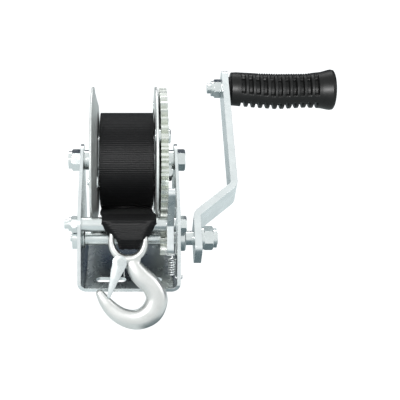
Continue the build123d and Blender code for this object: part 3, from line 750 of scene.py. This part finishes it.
def angle_from(angle, centre):
    return abs((math.degrees(angle) - centre + 180) % 360 - 180)


def grip_depth(x, angle):
    """How far a slot or rib cuts into the grip, in millimetres. 0 degrees faces the front, 90 the top."""
    deep = 0.0
    near = (x - SLOT_START) / SLOT_PITCH
    if -0.5 < near < SLOT_COUNT - 0.5:
        off = abs(x - SLOT_START - SLOT_PITCH * round(near))
        slot = 1 - soft_step(off, SLOT_WIDE / 2 - 0.35, SLOT_WIDE / 2 + 0.35)
        lift = 0.12 * min(0.0, x - BEND_AT)
        for (centre, half, depth), turn in zip(SLOT_SIDES, (-lift, 0.0, lift)):
            away = angle_from(angle, centre + turn)
            deep = max(deep, depth * slot * (1 - soft_step(away, half - 2.5, half + 2.5)))
    if 24 < x < 84:
        ridge = 0.5 - 0.5 * math.cos(TAU * x / 2.5)
        fade = soft_step(x, 24, 30) * (1 - soft_step(x, 78, 84))
        deep = max(deep, 0.85 * ridge * fade * (1 - soft_step(angle_from(angle, 90), 22, 30)))
    return deep


def grip():
    """The rubber grip: a bored, bellied and flared body with rows of slots and fine ribs on top."""
    length = (GRIP_BOX[1].x - GRIP_BOX[0].x) / MM
    bore = BORE_R + 0.05
    xs = list(np.arange(0.6, 100, 0.4)) + list(np.arange(100, length, 0.5))
    stations = [(length - CAP, 0.6), (length - CAP, bore), (0.0, bore), (0.0, 14.0), (0.0, 16.2)]
    stations += [(x, None) for x in xs]
    stations += [(length, 16.6), (length + 0.05, 12.0), (length + 0.08, 6.0), (length + 0.1, 0.6)]
    sides = 180
    rows = []
    for x, fixed in stations:
        radius, drop = grip_profile(x)
        row = []
        for k in range(sides):
            a = TAU * k / sides
            r = fixed if fixed is not None else radius - grip_depth(x, a)
            fall = drop if fixed is None or fixed > BORE_R + 1 else 0.0
            place = Vector((GRIP_BOX[0].x + x * MM, GRIP.y, GRIP.z - fall * MM))
            row.append(place + (LEAN_OUT * math.cos(a) + LEAN_UP * math.sin(a)) * r * MM)
        rows.append(row)
    rubber = grid_piece("rubber_grip", rows, "rubber", ring=True, caps=True)
    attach(rubber, "grip")
    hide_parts("grip_rubber")


# Springs


def pawl_spring():
    """A pull spring: open coils, a hook through the pawl's eye and a leg through the cheek."""
    eye = Vector((0, TIE.y - 13.0 * MM, TIE.z - 18.0 * MM))
    hole = Vector((0, -56.0 * MM, 7.5 * MM))
    mid_x, coil_r, wire = 37.9 * MM, 3.1 * MM, 0.62 * MM
    low, high, turns = 9.8 * MM, 25.5 * MM, 6.5
    y = (eye.y + hole.y) / 2
    path = [Vector((46.8 * MM, hole.y, hole.z + 3 * MM)), Vector((46.6 * MM, hole.y, hole.z)),
            Vector((43.0 * MM, hole.y, hole.z)),
            Vector((41.3 * MM, hole.y + 0.6 * MM, hole.z + 0.8 * MM))]
    for k in range(int(turns * 16) + 1):
        a = TAU * k / 16
        z = low + (high - low) * k / (turns * 16)
        path.append(Vector((mid_x + coil_r * math.cos(a), y + coil_r * math.sin(a), z)))
    path += [Vector((mid_x, y - 0.6 * MM, high + 1.2 * MM)),
             Vector((mid_x, eye.y - 1.6 * MM, high + 3.4 * MM)),
             Vector((mid_x, eye.y - 1.2 * MM, eye.z - 4.2 * MM)),
             Vector((mid_x, eye.y + 0.6 * MM, eye.z - 3.6 * MM)),
             Vector((mid_x, eye.y + 1.4 * MM, eye.z - 5.2 * MM)),
             Vector((mid_x, eye.y + 0.6 * MM, high + 2.4 * MM))]
    fine = [Vector(p) for p in smooth_path([tuple(p) for p in path], 2)]
    coil = grid_piece("pawl_return_spring", tube_rows(fine, wire, 10), "spring", ring=True, caps=True)
    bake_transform(coil)
    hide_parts("pawl_spring")


def from_tie(x, y, z):
    """A point x millimetres from the middle plane, y and z from the tie tube's axis."""
    return Vector((x * MM, TIE.y + y * MM, TIE.z + z * MM))


def pawl_wire():
    """The spring's long leg: up the outer side of the pawl, round the hub's front and into the arm."""
    stations = [(38.6, -11.5, 22.0), (40.4, -11.3, 21.4), (41.2, -10.8, 17.0), (41.5, -10.4, 9.0),
                (41.5, -10.2, 0.0), (41.4, -10.4, -8.0), (41.3, -11.4, -15.0), (41.0, -13.0, -19.5),
                (40.3, -13.6, -22.4), (38.4, -13.8, -23.6), (35.0, -13.8, -23.6), (32.6, -13.6, -22.6),
                (32.3, -13.2, -19.0)]
    fine = [Vector(p) for p in smooth_path([tuple(from_tie(*p)) for p in stations], 4)]
    leg = grid_piece("pawl_spring_leg", tube_rows(fine, 0.5 * MM, 10), "spring", ring=True, caps=True)
    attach(leg, "pawl")


# Finishes


def finish_cad_nodes():
    """The CAD nodes keep their shape and get their finish; the satin flanges have one of their own, rougher
    and painted lighter to stand in for light on their inner faces.
    """
    slots = {row["node"]: row["material_slot"] for row in frame["record"]["subparts"]}
    for name, node in frame["nodes"].items():
        look = "zinc_flange_painted_lighter" if name.endswith("_flange") else slots[name]
        node.data.materials.clear()
        node.data.materials.append(MATERIALS[look])
        modifier(node, "EDGE_SPLIT", split_angle=math.radians(35))


strap_roll()
strap_sheet()
hook()
latch()
latch_spring()
grip()
pawl_spring()
pawl_wire()
finish_cad_nodes()

# Camera, floor and light

FOCAL_PX = 871.0
PICTURE_PX = 400.0
SENSOR = 36.0
CAMERA_FAR = 0.823
FLOOR_Z = -0.075
DIM_FROM, DIM_TO = (0.014, 0.026), (0.10, 0.14)        # x where the floor's dim band fades in and out
FRONT_WALL, TOP_WALL, SIDE_WALL = 0.90, 1.0, 0.7

camera_data = bpy.data.cameras.new("camera")
camera_data.sensor_width = SENSOR
camera_data.lens = FOCAL_PX / PICTURE_PX * SENSOR
camera_data.shift_x = 0.1775
camera_data.shift_y = -0.10
camera = bpy.data.objects.new("camera", camera_data)
camera.location = Vector((0, AXLE.y, AXLE.z)) + LEAN_OUT * CAMERA_FAR
camera.rotation_euler = (math.radians(90 - LEAN_ANGLE), 0, 0)
bpy.context.scene.collection.objects.link(camera)
bpy.context.scene.camera = camera


def seen_directly(n):
    return n.node("ShaderNodeLightPath").outputs["Is Camera Ray"]


def floor():
    """A pale floor, white to the camera. Reflections see it bright but for a dim band under the crank."""
    mesh = bpy.data.meshes.new("floor")
    build = bmesh.new()
    bmesh.ops.create_grid(build, x_segments=8, y_segments=8, size=4.0)
    build.to_mesh(mesh)
    build.free()
    sheet = bpy.data.objects.new("floor", mesh)
    bpy.context.scene.collection.objects.link(sheet)
    sheet.location.z = FLOOR_Z
    n = Nodes(bpy.data.materials.new("pale_floor"))
    place = n.node("ShaderNodeSeparateXYZ")
    n.link(n.node("ShaderNodeNewGeometry").outputs["Position"], place.inputs[0])
    side = n.math("MAXIMUM", n.span(place.outputs["X"], *DIM_FROM, 1.0, 0.0),
                  n.span(place.outputs["X"], *DIM_TO, 0.0, 1.0))
    reflected = n.mix(side, colour(0.03, 0.055, 0.06), colour(0.60, 0.65, 0.65))
    n.set(Base_Color=colour(0.12, 0.14, 0.15), Roughness=0.9, Emission_Strength=1.0,
          Emission_Color=n.mix(seen_directly(n), reflected, colour(1, 1, 1)))
    mesh.materials.append(n.owner)


def area_light(name, place, aim, size, power):
    data = bpy.data.lights.new(name, "AREA")
    data.shape = "RECTANGLE"
    data.size, data.size_y = size
    data.energy = power
    lamp = bpy.data.objects.new(name, data)
    lamp.location = place
    lamp.rotation_euler = (Vector(aim) - Vector(place)).to_track_quat("-Z", "Y").to_euler()
    bpy.context.scene.collection.objects.link(lamp)
    return lamp


def sheen_light():
    """A narrow light above the camera that only the webbing and the grip reflect."""
    place = camera.location + LEAN_UP * 0.04
    lamp = area_light("sheen_light", place, (0, AXLE.y, AXLE.z), (0.25, 0.06), 14)
    lit = bpy.data.collections.new("lit_by_sheen_light")
    for piece in ("strap_roll_layers", "strap_loop", "rubber_grip"):
        lit.objects.link(bpy.data.objects[piece])
    lamp.light_linking.receiver_collection = lit
    lamp.visible_diffuse = False


def world():
    """White to the camera. Reflections see bright front and top walls and a dim blue-grey back wall."""
    scene = bpy.context.scene
    scene.world = bpy.data.worlds.new("studio")
    n = Nodes(scene.world, "Background")
    split = n.node("ShaderNodeSeparateXYZ")
    n.link(n.node("ShaderNodeTexCoord").outputs["Generated"], split.inputs[0])
    front = n.span(split.outputs["Y"], 0.1, -0.6, 0.0, FRONT_WALL)
    top = n.span(split.outputs["Z"], 0.5, 0.9, 0.0, TOP_WALL)
    left = n.span(split.outputs["X"], -0.35, -0.9, 0.0, SIDE_WALL)
    bright = n.math("MAXIMUM", n.math("MAXIMUM", front, top), left)
    tone = n.mix(bright, colour(0.035, 0.05, 0.075), colour(0.96, 1.0, 1.0))
    n.set(Color=n.mix(seen_directly(n), tone, colour(1, 1, 1)), Strength=1.0)


floor()
world()
area_light("key_light", (-0.45, -0.9, 0.75), (0, 0, 0.08), (0.35, 0.35), 5)
area_light("fill_light", (0.9, -0.5, 0.7), (0.05, 0, 0.08), (0.5, 0.5), 2)
sheen_light()
area_light("back_light", (0.0, 0.7, 0.9), (0, 0, 0.1), (0.8, 0.3), 3)
bpy.context.scene.view_settings.view_transform = "Standard"
